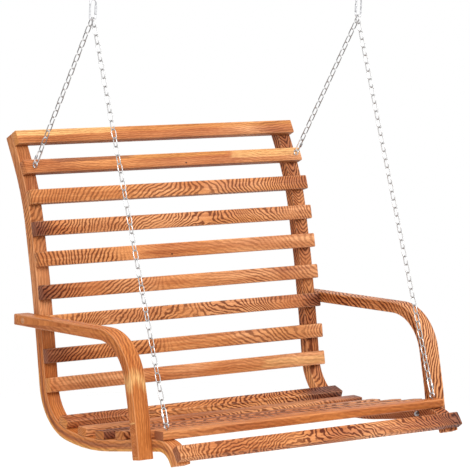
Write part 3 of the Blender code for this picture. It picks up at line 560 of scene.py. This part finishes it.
sawn_place = 0.578
dark_end = (sawn_place, umber)
pale_end = (sawn_place, (0.60, 0.23, 0.065))
tan_end = (sawn_place, (0.48, 0.16, 0.040))
slat_figures = {
    "back_slat_1": (pale_end, (
        (-0.58, 8.0, 110.0, 0.0, 0.35, amber), (-0.40, 6.0, 120.0, 0.0, 0.35, rust),
        (-0.26, 6.0, 120.0, 0.0, 0.35, amber), (-0.12, 6.0, 110.0, 0.0, 0.30, rust),
        (0.24, 6.0, 110.0, 0.0, 0.30, rust), (0.38, 10.0, 100.0, 0.0, 0.35, honey),
        (0.48, 10.0, 100.0, 0.0, 0.45, russet), (0.58, 6.0, 120.0, 0.0, 0.35, amber)),
        ((-0.60, -0.20, 0.002, 0.03, sapwood, 0.8), (-0.2, 0.60, 0.008, 0.03, gilded, 0.3),
         (-0.60, 0.34, -0.03, -0.002, russet, 0.4))),
    "back_slat_2": (None, (
        (-0.58, 12.0, 110.0, 0.0, 0.3, rust), (-0.46, 8.0, 110.0, 0.0, 0.4, russet),
        (-0.30, 8.0, 110.0, 0.0, 0.4, amber), (-0.16, 8.0, 120.0, 0.0, 0.25, amber),
        (0.00, 8.0, 120.0, 0.0, 0.25, russet), (0.16, 8.0, 120.0, 0.0, 0.25, rust),
        (0.30, 10.0, 110.0, 0.0, 0.3, russet), (0.44, 8.0, 100.0, 0.0, 0.3, amber),
        (0.58, 10.0, 100.0, 0.0, 0.4, honey)),
        ((0.26, 0.60, -0.002, 0.03, sapwood, 0.6), (-0.2, 0.26, 0.008, 0.03, gilded, 0.4),
         (-0.47, -0.14, 0.011, 0.03, umber, 0.7))),
    "back_slat_3": (None, (
        (-0.58, 76.0, -58.0, 0.0, 0.55, amber), (-0.36, 70.0, -60.0, 0.0, 0.55, amber),
        (-0.20, 40.0, -85.0, 0.0, 0.7, amber), (-0.04, 33.0, -85.0, 0.0, 0.8, honey),
        (0.08, 40.0, -10.0, 70.0, 0.75, amber), (0.16, 46.0, 60.0, 30.0, 0.7, honey),
        (0.26, 70.0, 10.0, -50.0, 0.85, honey), (0.42, 78.0, 0.0, -50.0, 0.9, amber),
        (0.58, 76.0, 20.0, -30.0, 0.8, russet)), ()),
    "back_slat_4": (dark_end, (
        (-0.58, 74.0, -46.0, 0.0, 0.9, umber), (-0.48, 74.0, -44.0, 0.0, 0.9, rust),
        (-0.38, 74.0, -40.0, 0.0, 0.85, honey), (-0.22, 67.0, -50.0, 0.0, 0.8, honey),
        (-0.08, 36.0, -80.0, 0.0, 0.9, honey), (0.06, 34.0, -50.0, 60.0, 0.9, honey),
        (0.14, 66.0, 20.0, -70.0, 0.85, amber), (0.30, 64.0, 60.0, 0.0, 0.85, amber),
        (0.42, 72.0, 30.0, -40.0, 0.8, honey), (0.58, 74.0, 20.0, -30.0, 0.7, honey)), ()),
    "back_slat_5": (None, (
        (-0.58, 76.0, 20.0, 0.0, 0.75, amber), (-0.44, 74.0, -10.0, 0.0, 0.85, honey),
        (-0.28, 66.0, -45.0, 0.0, 0.9, amber), (-0.20, 50.0, 20.0, 0.0, 0.2, amber),
        (-0.10, 16.0, 90.0, 0.0, 0.25, rust), (0.10, 16.0, 90.0, 0.0, 0.25, amber),
        (0.28, 20.0, 90.0, 0.0, 0.30, honey), (0.40, 66.0, 66.0, 0.0, 0.7, honey),
        (0.48, 50.0, 60.0, 0.0, 0.4, honey), (0.58, 40.0, 10.0, -50.0, 0.4, honey)), ()),
    "back_slat_6": (dark_end, (
        (-0.58, 60.0, -62.0, 0.0, 1.0, umber), (-0.50, 58.0, -62.0, 0.0, 0.9, russet),
        (-0.38, 52.0, -66.0, 0.0, 0.85, rust), (-0.28, 44.0, -70.0, 0.0, 0.8, honey),
        (-0.16, 36.0, -70.0, 0.0, 0.7, honey), (-0.08, 60.0, 0.0, 0.0, 0.20, amber),
        (0.02, 16.0, 80.0, 0.0, 0.30, amber), (0.24, 16.0, 90.0, 0.0, 0.4, honey),
        (0.32, 40.0, 72.0, 0.0, 0.85, honey), (0.43, 34.0, 66.0, 0.0, 0.6, russet),
        (0.58, 50.0, 50.0, 0.0, 0.5, honey)), ()),
    "back_slat_7": (None, (
        (-0.58, 78.0, 46.0, 0.0, 0.8, amber), (-0.46, 76.0, -20.0, 0.0, 0.8, amber),
        (-0.34, 62.0, -60.0, 0.0, 0.85, honey), (-0.16, 50.0, -66.0, 0.0, 0.8, honey),
        (-0.02, 36.0, -40.0, 60.0, 0.85, amber), (0.10, 36.0, 75.0, 0.0, 0.9, honey),
        (0.28, 54.0, 50.0, -50.0, 0.9, honey), (0.42, 74.0, 40.0, -50.0, 0.95, rust),
        (0.50, 70.0, 60.0, 0.0, 0.9, russet), (0.58, 60.0, 60.0, 0.0, 0.9, umber)), ()),
    "back_slat_8": (dark_end, (
        (-0.58, 66.0, -56.0, 0.0, 1.0, umber), (-0.48, 62.0, -60.0, 0.0, 0.9, russet),
        (-0.38, 56.0, -60.0, 0.0, 0.85, amber), (-0.16, 60.0, -50.0, 0.0, 0.8, amber),
        (-0.08, 60.0, 0.0, 0.0, 0.2, amber), (0.00, 16.0, 80.0, 0.0, 0.3, amber),
        (0.16, 18.0, 90.0, 0.0, 0.35, amber), (0.24, 44.0, 66.0, 0.0, 0.7, honey),
        (0.40, 40.0, 68.0, 0.0, 0.7, amber), (0.50, 60.0, 20.0, -60.0, 0.7, amber),
        (0.58, 60.0, 0.0, -60.0, 0.7, honey)), ()),
    "back_slat_9": (pale_end, (
        (-0.58, 66.0, 60.0, 0.0, 0.5, rust), (-0.48, 66.0, 60.0, 0.0, 0.45, honey),
        (-0.26, 60.0, 60.0, 0.0, 0.35, honey), (-0.16, 12.0, 110.0, 0.0, 0.3, rust),
        (0.00, 12.0, 110.0, 0.0, 0.3, honey), (0.10, 12.0, 110.0, 0.0, 0.3, amber),
        (0.30, 10.0, 110.0, 0.0, 0.3, amber), (0.44, 8.0, 90.0, 0.0, 0.3, honey),
        (0.58, 8.0, 80.0, 0.0, 0.3, honey)),
        ((0.30, 0.60, -0.016, 0.012, sapwood, 0.5),)),
    "seat_slat_1": (pale_end, (
        (-0.58, 74.0, 60.0, 0.0, 0.7, russet), (-0.36, 50.0, -60.0, 0.0, 0.8, russet),
        (-0.30, 30.0, -80.0, 0.0, 0.8, amber), (0.00, 30.0, -80.0, 0.0, 0.8, amber),
        (0.14, 60.0, -20.0, 0.0, 1.0, amber), (0.36, 72.0, 20.0, -40.0, 1.0, amber),
        (0.46, 72.0, 20.0, -30.0, 1.0, umber), (0.58, 72.0, 20.0, 0.0, 0.9, umber)), ()),
    "seat_slat_2": (tan_end, (
        (-0.58, 30.0, 90.0, 0.0, 0.6, honey), (-0.20, 24.0, 100.0, 0.0, 0.9, russet),
        (0.30, 60.0, 60.0, 0.0, 0.8, honey), (0.46, 70.0, 40.0, 0.0, 0.8, russet),
        (0.58, 72.0, 20.0, 0.0, 0.8, umber)), ()),
    "seat_slat_3": (tan_end, (
        (-0.58, 60.0, -50.0, 0.0, 0.8, umber), (-0.46, 60.0, -50.0, 0.0, 0.8, umber),
        (-0.38, 30.0, -90.0, 0.0, 1.0, russet), (0.20, 24.0, -100.0, 0.0, 1.0, russet),
        (0.58, 30.0, -90.0, 0.0, 0.9, honey)), ()),
    "seat_slat_4": (tan_end, (
        (-0.58, 60.0, 60.0, 0.0, 0.9, honey), (-0.44, 30.0, 90.0, 0.0, 1.0, russet),
        (0.20, 24.0, 90.0, 0.0, 1.0, russet), (0.58, 30.0, 90.0, 0.0, 1.0, honey)), ()),
    "seat_slat_5": (tan_end, (
        (-0.58, 20.0, 90.0, 0.0, 0.6, amber), (0.00, 20.0, 100.0, 0.0, 0.9, russet),
        (0.58, 20.0, 90.0, 0.0, 0.9, honey)), ()),
    "seat_slat_6": (dark_end, (
        (-0.58, 10.0, 100.0, 0.0, 0.3, amber), (-0.30, 10.0, 110.0, 0.0, 0.4, rust),
        (0.00, 10.0, 110.0, 0.0, 0.25, tan), (0.58, 12.0, 110.0, 0.0, 0.25, tan)), ()),
    "front_slat": (dark_end, (
        (-0.58, 78.0, -40.0, 0.0, 0.75, honey), (-0.44, 70.0, -50.0, 0.0, 0.8, rust),
        (-0.34, 26.0, -90.0, 0.0, 0.8, rust), (-0.10, 30.0, -90.0, 0.0, 0.9, amber),
        (0.04, 36.0, 60.0, -50.0, 1.0, rust), (0.20, 50.0, 40.0, 60.0, 0.9, honey),
        (0.34, 64.0, 40.0, -40.0, 0.95, rust), (0.47, 74.0, 30.0, -30.0, 1.0, russet),
        (0.58, 76.0, 20.0, -20.0, 1.0, umber)), ()),
}
slat_knots = {"back_slat_2": ((0.073, -0.014),), "back_slat_5": ((-0.044, -0.014),)}
# How much painted shade darkens the lower edge of each slat.
slat_lower_shades = {"back_slat_1": 0.6, "back_slat_2": 0.65, "back_slat_3": 0.4}
slat_wander = {"front_slat": 2.0, "seat_slat_1": 1.6, "seat_slat_2": 1.6,
               "back_slat_4": 1.5, "back_slat_7": 1.5}
for number, (name, station, width) in enumerate(slats):
    piece = saw_slat(name + "_board", station, width)
    ends, figure, zones = slat_figures[name]
    piece.data.materials.append(teak("teak_" + name, figure, 5.0 + number, zones, ends,
                                     knots=slat_knots.get(name, ()),
                                     under=slat_lower_shades.get(name, 0.0),
                                     wander=slat_wander.get(name, 1.0)))
    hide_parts(name)
    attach(piece, "bench")

# Armrests
# Each is bent from one board too, from a stub behind the post, forward and round down
# to the seat rail. Two sunk bolts hold it, each under a round plug.
arm_across = 0.6074
arm_width = 0.0572
arm_depth = 0.0361
arm_rounding = 0.0036
arm_start = (0.35956, 0.28717, 0.0)
arm_straight = 0.485
arm_corner = 0.181
arm_turn = 76.7
arm_route = (("run", arm_straight, 0.0), ("bend", arm_corner, arm_turn), ("bend", 2.40, 6.1))
arm_half = (0.0286, 0.0180)
post_mark = 0.0521
past_corner = 0.21521
leg_mark = arm_straight + arm_corner * math.radians(arm_turn) + past_corner
plug_radius = 0.0100
plug_depth = 0.0090
plug_gap = 0.0003
plug_easing = 0.0005
hole_past = 0.0030
lying = (0.0, math.pi / 2, 0.0)
arm_finishes = {
    "left": teak("teak_arm_left", (
        (0.00, 10.0, 110.0, 0.0, 0.25, tan), (0.44, 10.0, 100.0, 0.0, 0.25, tan),
        (0.56, 30.0, 80.0, 0.0, 0.50, tan), (0.69, 20.0, 90.0, 0.0, 0.40, tan),
        (0.735, 20.0, 90.0, 0.0, 0.30, sapwood), (0.77, 12.0, 90.0, 0.0, 0.30, tan),
        (1.00, 10.0, 110.0, 0.0, 0.35, tan)), 30.0, half=arm_half),
    "right": teak("teak_arm_right", (
        (0.00, 46.0, 70.0, 0.0, 1.0, amber), (0.45, 36.0, 80.0, 0.0, 1.0, amber),
        (0.62, 40.0, 70.0, 30.0, 1.0, honey), (0.80, 22.0, 80.0, 0.0, 1.0, honey),
        (1.00, 20.0, 80.0, 0.0, 1.0, amber)), 31.0, half=arm_half),
}
plug_tones = {"left": (0.53, 0.175, 0.047), "right": amber}
for side, name in ((-1, "left"), (1, "right")):
    board = bend_board("arm_" + name, arm_start, arm_route, arm_width, arm_depth, arm_rounding,
                       end_rounding)
    board.data.transform(Matrix.Translation((side * arm_across, 0.0, 0.0)))
    for spot, mark in (("post", post_mark), ("leg", leg_mark)):
        face, heading = walk(arm_start, arm_route, mark)
        middle = face - outward(heading) * (arm_depth / 2)
        middle.x = side * (arm_across + arm_width / 2)
        bpy.ops.mesh.primitive_cylinder_add(vertices=32, radius=plug_radius + plug_gap,
                                            depth=2 * (plug_depth + hole_past),
                                            location=middle, rotation=lying)
        drill = bpy.context.object
        only(board)
        bpy.ops.object.modifier_add(type="BOOLEAN")
        cut = board.modifiers[-1]
        cut.solver = "EXACT"
        cut.object = drill
        bpy.ops.object.modifier_apply(modifier=cut.name)
        bpy.data.objects.remove(drill)
        inner = middle - Vector((side * plug_depth / 2, 0.0, 0.0))
        bpy.ops.mesh.primitive_cylinder_add(vertices=32, radius=plug_radius,
                                            depth=plug_depth, location=inner, rotation=lying)
        plug = bpy.context.object
        plug.name = "plug_%s_%s" % (spot, name)
        bpy.ops.object.transform_apply(location=True, rotation=True, scale=True)
        bpy.ops.object.mode_set(mode="EDIT")
        blunt(plug, many_sided, plug_easing)
        bpy.ops.mesh.select_mode(type="VERT")
        bpy.ops.mesh.select_all(action="SELECT")
        mark_grain(plug, lambda corner, old: Vector((corner.co.z, corner.co.y, corner.co.x)))
        bpy.ops.object.mode_set(mode="OBJECT")
        bpy.ops.object.shade_smooth_by_angle(angle=math.radians(40.0))
        hang(plug)
        plug.data.materials.append(teak("teak_" + plug.name, (
            (-1.0, 10.0, 100.0, 0.0, 0.5, plug_tones[name]),
            (1.0, 10.0, 100.0, 0.0, 0.5, plug_tones[name])),
            40.0 + mark * side, half=(0.1, 0.1)))
        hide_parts("armrest_" + plug.name)
        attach(plug, "bench")
    hang(board)
    board.data.materials.append(arm_finishes[name])
    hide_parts("armrest_" + name)
    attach(board, "bench")

# Metal fittings
# Bolts and nuts are zinc-plated steel, finely brushed. The nuts of the eye bolts, behind
# the frames, get darker plating as painted shade for the shadow they lie in. The gates,
# their pins and springs are as bright as their hooks.


def plated(name, dull, bright):
    """Zinc plating in patches between two brightnesses, very slightly blue."""
    material, tree, shader = start_finish(name, Metallic=1.0, IOR=2.2)
    place = node(tree, "ShaderNodeTexCoord", out=3)
    patchy = node(tree, "ShaderNodeTexNoise", {"Vector": place, "Scale": 180.0,
                                               "Detail": 3.0})
    fine = node(tree, "ShaderNodeTexNoise", {"Vector": place, "Scale": 1900.0,
                                             "Detail": 2.0})
    share = node(tree, "ShaderNodeMapRange", {"Value": patchy, "From Min": 0.35,
                                              "From Max": 0.65})
    colour = node(tree, "ShaderNodeMix", {0: share, 6: (dull, dull, dull * 1.03, 1.0),
                                          7: (bright, bright, bright * 1.02, 1.0)},
                  out=2, data_type="RGBA")
    dress(tree, shader, colour, 0.20 + patchy * 0.22, fine, 0.12, 0.0001)
    return material


zinc = plated("zinc_plate", 0.24, 0.56)
hook_zinc = plated("hook_zinc", 0.42, 0.78)
# Painted shade: darker plating for the eye bolts' nuts, which lie in shadow behind the frames.
shade_painted_zinc = plated("shade_painted_zinc", 0.08, 0.22)
for name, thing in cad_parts.items():
    if name.startswith(("armrest_bolt", "armrest_nut", "eye_bolt_nut", "gate_", "hook_gate")):
        thing.data.materials.clear()
        finish = hook_zinc if "gate" in name else shade_painted_zinc if "eye_bolt_nut" in name else zinc
        thing.data.materials.append(finish)

# Slat screws
# One countersunk cross-head screw holds each slat end from behind the frame. The
# second back slat and the sixth seat slat are held by the eye bolts.
screw_radius = 0.0041
screw_head = 0.0020
screw_sunk = 0.0003
screw_aside = 0.0060
head_rim = 0.0006
head_dome = 0.0004
recess_room = 0.0016
recess_depth = 0.0014
recess_taper = 0.55
bolted_slats = ("back_slat_2", "seat_slat_6")
bpy.ops.object.select_all(action="DESELECT")
bpy.ops.mesh.primitive_cylinder_add(vertices=16, radius=screw_radius, depth=screw_head)
screw = bpy.context.object
bpy.ops.object.mode_set(mode="EDIT")
pick(screw, lambda face: face.normal.z > 0.9)
bpy.ops.mesh.inset(thickness=head_rim)
bpy.ops.transform.translate(value=(0.0, 0.0, head_dome))
bpy.ops.mesh.inset(thickness=recess_room)
push((0.0, 0.0, -recess_depth))
bpy.ops.transform.resize(value=(recess_taper, recess_taper, 1.0))
bpy.ops.object.mode_set(mode="OBJECT")
bpy.ops.object.shade_smooth_by_angle(angle=math.radians(35.0))
screws = []
for name, station, _ in slats:
    if name in bolted_slats:
        continue
    point, turned = walk(back_top, frame_route, station)
    back = point - outward(turned) * (frame_depth - screw_head / 2 - screw_sunk)
    for side in (-1, 1):
        copy = screw.copy()
        copy.data = screw.data.copy()
        bpy.context.collection.objects.link(copy)
        copy.rotation_euler = (turned + math.pi, 0.0, 0.0)
        copy.location = back + Vector((side * (frame_inside + screw_aside), 0.0, 0.0))
        screws.append(copy)
bpy.data.objects.remove(screw)
only(*screws)
bpy.ops.object.transform_apply(location=True, rotation=True, scale=True)
bpy.ops.object.join()
screws = bpy.context.object
screws.name = "slat_screws"
hang(screws)
screws.data.materials.append(zinc)
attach(screws, "bench")

# Eye bolts
# Four zinc-plated rods, each bent round into an eye above its slat, go through slat and
# frame to a nut behind. The quick links of the chains hang in them.
eye_across = 0.5478
eye_wire = 0.0056
eye_radius = 0.0105
eye_gap = 0.0003
eye_rise = eye_radius + eye_wire / 2 + eye_gap
eye_turn = 324.0
rod_tail = 0.0102
rod_easing = 0.0006
eyes = {}


def round_end(name, radius, place, turn, sides=14):
    """Add the round end face of a rod and stay in edit mode with it selected."""
    bpy.ops.object.select_all(action="DESELECT")
    bpy.ops.mesh.primitive_circle_add(vertices=sides, radius=radius, fill_type="NGON",
                                      location=place, rotation=turn)
    rod = bpy.context.object
    rod.name = name
    bpy.ops.object.transform_apply(location=True, rotation=True, scale=True)
    bpy.ops.object.mode_set(mode="EDIT")
    bpy.ops.mesh.select_mode(type="FACE")
    bpy.ops.mesh.select_all(action="SELECT")
    return rod


def smooth_off(thing, degrees=50.0):
    """Turn all faces outward, leave edit mode and shade smooth below an angle."""
    bpy.ops.mesh.select_all(action="SELECT")
    bpy.ops.mesh.normals_make_consistent(inside=False)
    bpy.ops.object.mode_set(mode="OBJECT")
    only(thing)
    bpy.ops.object.shade_smooth_by_angle(angle=math.radians(degrees))


for end, station, width in (("rear", back_places[1], back_width),
                            ("front", seat_places[5], seat_width)):
    rest, heading = slat_rest(station, width)
    up = outward(heading)
    for side, name in ((-1, "left"), (1, "right")):
        foot = rest + Vector((side * eye_across, 0.0, 0.0))
        middle = foot + up * (slat_thickness + eye_rise)
        rod = round_end("eye_%s_%s" % (end, name), eye_wire / 2, middle - up * eye_radius,
                        (math.pi / 2 + heading, 0.0, 0.0))
        bpy.ops.transform.rotate(value=math.pi / 2, orient_axis="X",
                                 center_override=middle - up * eye_radius)
        turn_on(-eye_turn, middle, 28)
        smooth_off(rod)
        shank = round_end("shank", eye_wire / 2, foot - up * (frame_depth + rod_tail),
                          (heading, 0.0, 0.0))
        bpy.ops.mesh.inset(thickness=rod_easing)
        bpy.ops.transform.translate(value=-up * rod_easing)
        bpy.ops.mesh.select_all(action="DESELECT")
        bpy.ops.mesh.select_mode(type="EDGE")
        bpy.ops.mesh.select_non_manifold()
        push(up * (frame_depth + rod_tail + slat_thickness + eye_wire / 2))
        bpy.ops.mesh.edge_face_add()
        smooth_off(shank)
        only(rod, shank)
        bpy.ops.object.join()
        rod.data.materials.append(zinc)
        hang(rod)
        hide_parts("eye_bolt_%s_%s" % (end, name))
        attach(rod, "bench")
        eyes[end, name] = hung @ middle

# Quick links
# An oval link of 5 mm rod, open on its outer side under a threaded hexagon sleeve, joins
# each eye to its chain.
quick_wire = 0.0050
quick_length = 0.0575
quick_width = 0.0200
quick_middle = 0.03115
sleeve_radius = 0.0046
sleeve_length = 0.0150
sleeve_easing = 0.0009
end_shift = 0.0023
lines = {}


def oval_link(name, wire, width, length, around, sides):
    """A round-wire link standing in X and Z, from a ring pulled apart at its middle."""
    bpy.ops.object.select_all(action="DESELECT")
    bpy.ops.mesh.primitive_torus_add(major_segments=around, minor_segments=sides,
                                     major_radius=(width - wire) / 2, minor_radius=wire / 2,
                                     rotation=(math.pi / 2, 0.0, 0.0))
    link = bpy.context.object
    link.name = name
    bpy.ops.object.transform_apply(location=True, rotation=True, scale=True)
    bpy.ops.object.mode_set(mode="EDIT")
    bpy.ops.transform.rotate(value=math.pi / around, orient_axis="Y",
                             center_override=(0.0, 0.0, 0.0))
    for way in (1.0, -1.0):
        pick(link, lambda corner: corner.co.z * way > 0.0, "verts")
        bpy.ops.transform.translate(value=(0.0, 0.0, way * (length - width) / 2))
    bpy.ops.mesh.select_mode(type="VERT")
    bpy.ops.mesh.select_all(action="SELECT")
    mark_grain(link, lambda corner, old: corner.co.copy())
    smooth_off(link, 180.0)
    return link


def link_metal(name, wire, width, length, sides, bows, inner_shade_share=0.7):
    """Plating with a painted brightness along a link's sides and another at its bows.

    Both stand in for the light and reflections the links catch. The last share darkens
    the inside of the wire with painted shade.
    """
    inner_shade_colour = (0.16, 0.15, 0.15, 1.0)
    material, tree, shader = start_finish(name, Metallic=1.0, IOR=2.2)
    place = node(tree, "ShaderNodeAttribute", out=1, attribute_name="grain")
    split = node(tree, "ShaderNodeSeparateXYZ", (place,)).socket.node
    aside, along = (abs(Shade(tree, split.outputs[k])) for k in (0, 2))
    patchy = node(tree, "ShaderNodeTexNoise", {"Vector": place, "Scale": 420.0, "Detail": 2.0})
    bow = node(tree, "ShaderNodeMapRange", {
        "Value": along + patchy * wire * 0.5, "From Min": (length - width) / 2,
        "From Max": length / 2 - wire * 0.4}, interpolation_type="SMOOTHSTEP")
    inside = node(tree, "ShaderNodeMapRange", {
        "Value": aside, "From Min": width / 2 - wire * 0.92, "From Max": width / 2 - wire * 0.5,
        "To Min": 1.0, "To Max": 0.0})
    colour = node(tree, "ShaderNodeMix", {0: bow, 6: (sides, sides * 0.99, sides * 0.98, 1.0),
                                          7: (bows, bows * 0.98, bows * 0.97, 1.0)},
                  out=2, data_type="RGBA")
    # Painted shade darkens the inside of each link.
    colour = node(tree, "ShaderNodeMix", {0: inside * (1.0 - bow) * inner_shade_share, 6: colour,
                                          7: inner_shade_colour},
                  out=2, data_type="RGBA")
    dress(tree, shader, colour, 0.22 + inside * 0.2 + patchy * 0.10, patchy, 0.10, 0.0001)
    return material


# The quick links get painted light too: bright sides, darker bows and a shaded inside.
quick_metal = link_metal("quick_link_zinc", quick_wire, quick_width, quick_length, 0.82, 0.40)
for (end, name), low in eyes.items():
    side = -1 if name == "left" else 1
    shift = end_shift if end == "rear" else -end_shift
    high = Vector((side * (eye_across + shift), 0.0, hook_wire_height))
    line = (high - low).normalized()
    flat = Vector((side, 0.0, 0.0))
    over = (flat - line * flat.dot(line)).normalized()
    square = line.cross(over)
    stand = Matrix((over, square, line)).transposed().to_4x4()
    lines[end, name] = (low, line, stand)
    quick = oval_link("quick_%s_%s" % (end, name), quick_wire, quick_width, quick_length,
                      28, 12)
    in_line = Matrix.Translation(low + line * quick_middle) @ stand
    quick.data.transform(in_line)
    bpy.ops.object.select_all(action="DESELECT")
    bpy.ops.mesh.primitive_cylinder_add(vertices=6, radius=sleeve_radius,
                                        depth=sleeve_length,
                                        location=((quick_width - quick_wire) / 2, 0.0, 0.0))
    sleeve = bpy.context.object
    sleeve.name = "sleeve_%s_%s" % (end, name)
    bpy.ops.object.transform_apply(location=True, rotation=True, scale=True)
    bpy.ops.object.mode_set(mode="EDIT")
    blunt(sleeve, many_sided, sleeve_easing)
    bpy.ops.mesh.select_mode(type="EDGE")
    smooth_off(sleeve, 35.0)
    sleeve.data.transform(in_line)
    for piece, stands_for, metal in ((quick, "quick_link_", quick_metal),
                                     (sleeve, "quick_link_sleeve_", zinc)):
        piece.data.materials.append(metal)
        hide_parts(stands_for + end + "_" + name)
        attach(piece, "bench")

# Chains
# Long-link chains hang the bench: forty-five links each to the front, nineteen each to
# the back, each link turned a quarter from its neighbour and bearing bow on bow.
link_wire = 0.0035
link_width = 0.0200
link_pitch = 0.0281
link_play = 0.0002
link_length = link_pitch + 2 * link_wire - link_play
first_link = 0.06855
link_counts = {"front": 45, "rear": 19}
# The front and rear chains are lit and shaded copies of one plating, their painted brightnesses
# set for how the light falls on each.
chain_metals = {
    "front": link_metal("chain_zinc_front", link_wire, link_width, link_length, 0.58, 0.42,
                        0.40),
    "rear": link_metal("chain_zinc_rear", link_wire, link_width, link_length, 0.30, 0.50),
}
for (end, name), (low, line, stand) in lines.items():
    first = oval_link("links_%s_%s" % (end, name), link_wire, link_width, link_length, 12, 6)
    links = [first]
    for _ in range(1, link_counts[end]):
        link = first.copy()
        link.data = first.data.copy()
        bpy.context.collection.objects.link(link)
        links.append(link)
    for number, link in enumerate(links):
        quarter = math.pi / 2 if number % 2 == 0 else 0.0
        link.data.transform(Matrix.Translation(low + line * (first_link + link_pitch * number))
                            @ stand @ Matrix.Rotation(quarter, 4, "Z"))
    only(*links)
    bpy.ops.object.join()
    first.data.materials.append(chain_metals[end])
    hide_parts("chain_%s_%s" % (end, name))
    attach(first, "bench")

# Snap hooks
# Each side hangs from a snap hook of 6 mm rod: a bow above, a flat foot below that bears
# both chains, and a sprung gate on the inner side, pinned at its lower end.
hook_wire = 0.0060
hook_side = 0.0110
hook_top = 0.0640
hook_corner = 0.0060
hook_bow = hook_top - hook_side
hook_foot = hook_side - hook_corner
tongue_rise = 0.0116
tongue_taper = 0.0015
tongue_share = 0.40
tongue_tip = ((0.0015, 0.87), (0.0011, 0.62))
pivot_rise = 0.0170
nose_rise = 0.0445
barb_step = 0.0005
barb_share = (0.35, 0.40, 1.0)
barb_length = 0.0035
from_front = (0.0, 1.0, 0.0)
for side, name in ((-1, "left"), (1, "right")):
    hook = round_end("hook_" + name, hook_wire / 2, (hook_side, 0.0, nose_rise),
                     (0.0, 0.0, 0.0), 18)
    push((0.0, 0.0, hook_bow - nose_rise))
    turn_on(-180.0, (0.0, 0.0, hook_bow), 24, from_front)
    push((0.0, 0.0, hook_corner - hook_bow))
    turn_on(-90.0, (-hook_foot, 0.0, hook_corner), 8, from_front)
    push((2 * hook_foot, 0.0, 0.0))
    turn_on(-90.0, (hook_foot, 0.0, hook_corner), 8, from_front)
    push((0.0, 0.0, tongue_rise - tongue_taper - hook_corner))
    push((0.0, 0.0, tongue_taper))
    bpy.ops.transform.resize(value=(1.0, tongue_share, 1.0))
    push((0.0, 0.0, pivot_rise - tongue_rise))
    for climb, share in tongue_tip:
        push((0.0, 0.0, climb))
        bpy.ops.transform.resize(value=(share, 1.0, 1.0))
    pick(hook, lambda face: many_sided(face)
         and abs(face.calc_center_median().z - nose_rise) < 0.0002)
    push((0.0, 0.0, -barb_step))
    bpy.ops.transform.resize(value=barb_share)
    push((0.0, 0.0, -barb_length))
    smooth_off(hook, 40.0)
    hook.data.transform(Matrix.Translation((side * eye_across, 0.0, hook_wire_height))
                        @ Matrix.Rotation(0.0 if side < 0 else math.pi, 4, "Z"))
    hook.data.materials.append(hook_zinc)
    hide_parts("snap_hook_" + name)
    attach(hook, "hooks")
